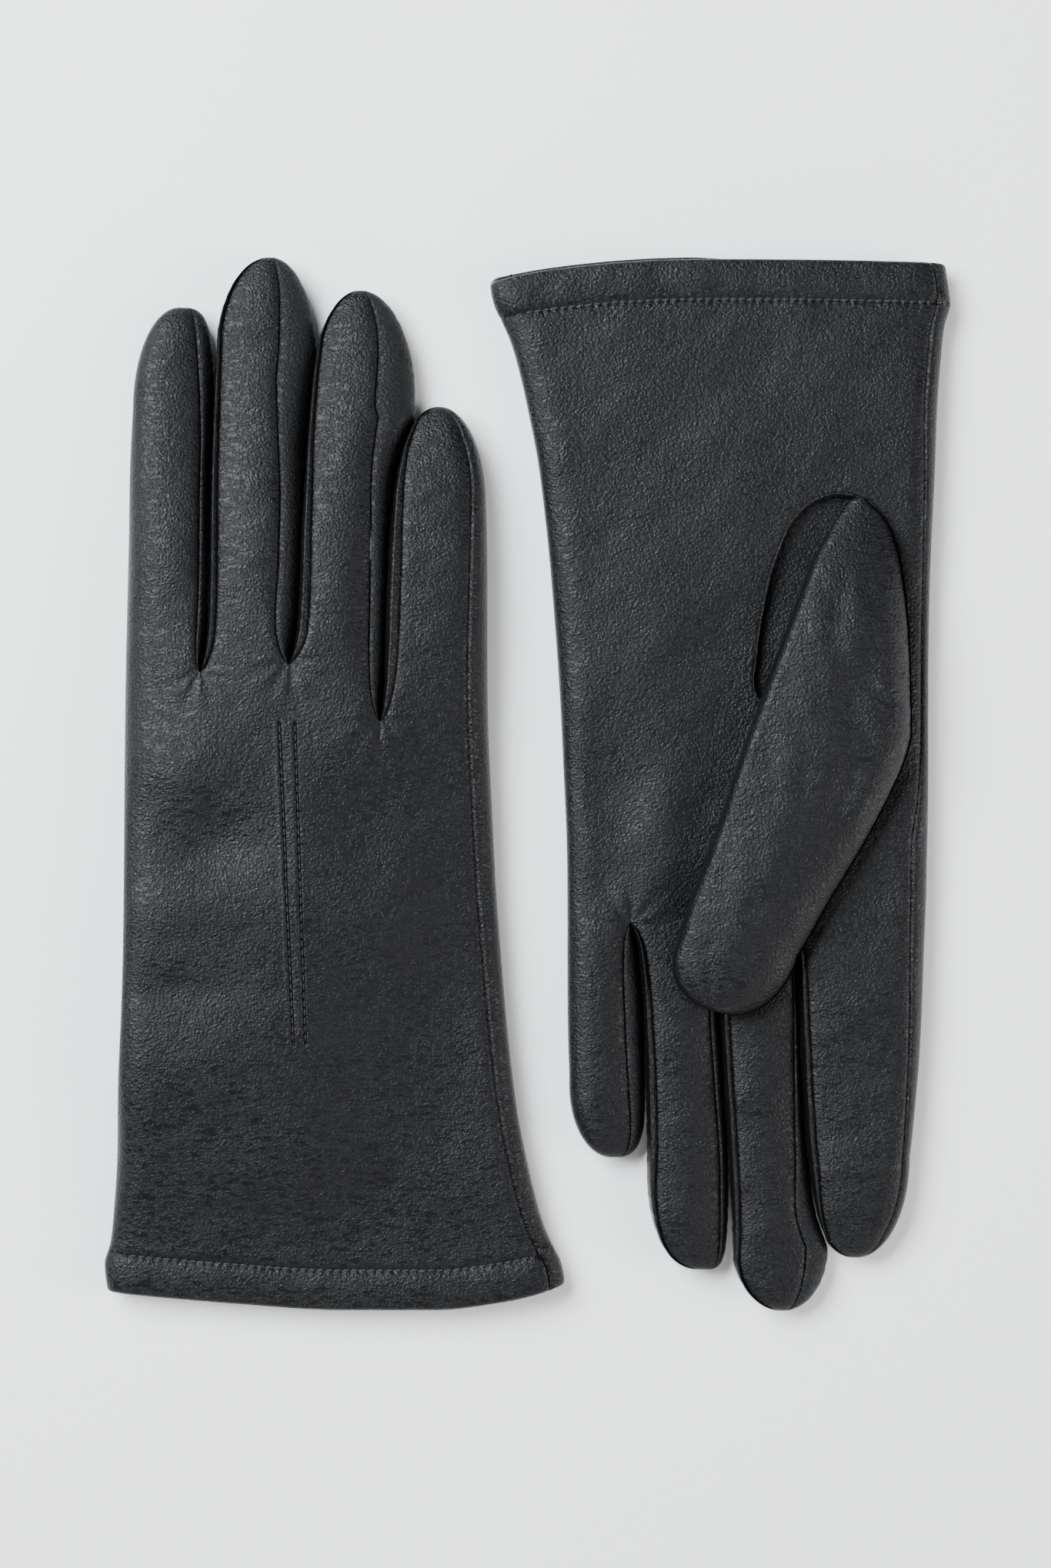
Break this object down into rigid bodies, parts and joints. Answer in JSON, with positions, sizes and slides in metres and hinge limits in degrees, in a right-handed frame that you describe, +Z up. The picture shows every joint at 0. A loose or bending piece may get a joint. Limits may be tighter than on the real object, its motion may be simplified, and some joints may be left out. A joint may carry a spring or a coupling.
{
  "type": "leather gloves",
  "caption": "Pair of slim lined leather dress gloves laid flat, one back up and one palm up, with fourchettes, pintucks and a stitched hem.",
  "frame": {"origin": "on the surface the gloves lie on, at the middle of the pair's outline", "axes": "+Z up from the surface; +Y along the fingers of the right glove, which lies back up on the -X side; the left glove lies palm up on the +X side with its fingers towards -Y"},
  "size_m": [0.1992, 0.2482, 0.0199],
  "materials": {
    "leather": "fine-grained nappa, satin",
    "lining": "brushed knit, matte",
    "thread": "twisted sewing thread, matte"
  },
  "bodies": {
    "right_hand": {"right_back_panel": "leather", "right_palm_panel": "leather", "right_cuff_hem": "leather", "right_hem_stitching": "thread", "right_pintucks": "leather", "right_side_seams": "thread", "right_index_middle_fourchette": "leather", "right_middle_ring_fourchette": "leather", "right_ring_little_fourchette": "leather", "right_back_lining": "lining", "right_palm_lining": "lining", "right_thumb_gusset": "leather"},
    "right_index": {"right_index_sheath": "leather", "right_index_fourchettes": "leather", "right_index_lining": "lining"},
    "right_middle": {"right_middle_sheath": "leather", "right_middle_fourchettes": "leather", "right_middle_lining": "lining"},
    "right_ring": {"right_ring_sheath": "leather", "right_ring_fourchettes": "leather", "right_ring_lining": "lining"},
    "right_little": {"right_little_sheath": "leather", "right_little_fourchettes": "leather", "right_little_lining": "lining"},
    "right_thumb": {"right_thumb_stall": "leather", "right_thumb_underside": "leather", "right_thumb_lining": "lining", "right_thumb_seam": "thread"},
    "left_hand": {"left_back_panel": "leather", "left_palm_panel": "leather", "left_cuff_hem": "leather", "left_hem_stitching": "thread", "left_pintucks": "leather", "left_side_seams": "thread", "left_index_middle_fourchette": "leather", "left_middle_ring_fourchette": "leather", "left_ring_little_fourchette": "leather", "left_back_lining": "lining", "left_palm_lining": "lining", "left_thumb_gusset": "leather"},
    "left_index": {"left_index_sheath": "leather", "left_index_fourchettes": "leather", "left_index_lining": "lining"},
    "left_middle": {"left_middle_sheath": "leather", "left_middle_fourchettes": "leather", "left_middle_lining": "lining"},
    "left_ring": {"left_ring_sheath": "leather", "left_ring_fourchettes": "leather", "left_ring_lining": "lining"},
    "left_little": {"left_little_sheath": "leather", "left_little_fourchettes": "leather", "left_little_lining": "lining"},
    "left_thumb": {"left_thumb_stall": "leather", "left_thumb_underside": "leather", "left_thumb_lining": "lining", "left_thumb_seam": "thread"}
  },
  "joints": [
    {"name": "right_index_flex", "type": "hinge", "parent": "right_hand", "child": "right_index", "pos_m": [-0.0835, 0.063, 0.0199], "axis": [1, 0, 0], "range_deg": [0, 60]},
    {"name": "right_middle_flex", "type": "hinge", "parent": "right_hand", "child": "right_middle", "pos_m": [-0.0629, 0.067, 0.0199], "axis": [1, 0, 0], "range_deg": [0, 60]},
    {"name": "right_ring_flex", "type": "hinge", "parent": "right_hand", "child": "right_ring", "pos_m": [-0.0415, 0.064, 0.0199], "axis": [1, 0, 0], "range_deg": [0, 60]},
    {"name": "right_little_flex", "type": "hinge", "parent": "right_hand", "child": "right_little", "pos_m": [-0.0212, 0.048, 0.0199], "axis": [1, 0, 0], "range_deg": [0, 60]},
    {"name": "right_thumb_swing", "type": "hinge", "parent": "right_hand", "child": "right_thumb", "pos_m": [-0.0815, -0.058, 0.0049], "axis": [0, 0, 1], "range_deg": [0, 60]},
    {"name": "left_index_flex", "type": "hinge", "parent": "left_hand", "child": "left_index", "pos_m": [0.0805, -0.063, 0.0106], "axis": [-1, 0, 0], "range_deg": [0, 60]},
    {"name": "left_middle_flex", "type": "hinge", "parent": "left_hand", "child": "left_middle", "pos_m": [0.0582, -0.067, 0.0106], "axis": [-1, 0, 0], "range_deg": [0, 60]},
    {"name": "left_ring_flex", "type": "hinge", "parent": "left_hand", "child": "left_ring", "pos_m": [0.0383, -0.064, 0.0106], "axis": [-1, 0, 0], "range_deg": [0, 60]},
    {"name": "left_little_flex", "type": "hinge", "parent": "left_hand", "child": "left_little", "pos_m": [0.0191, -0.048, 0.0106], "axis": [-1, 0, 0], "range_deg": [0, 60]},
    {"name": "left_thumb_swing", "type": "hinge", "parent": "left_hand", "child": "left_thumb", "pos_m": [0.0815, 0.058, 0.015], "axis": [0, 0, 1], "range_deg": [0, 60]},
    {"name": "left_glove_lift", "type": "slide", "parent": "right_hand", "child": "left_hand", "axis": [0, 0, 1], "range_m": [0, 0.12]}
  ]
}
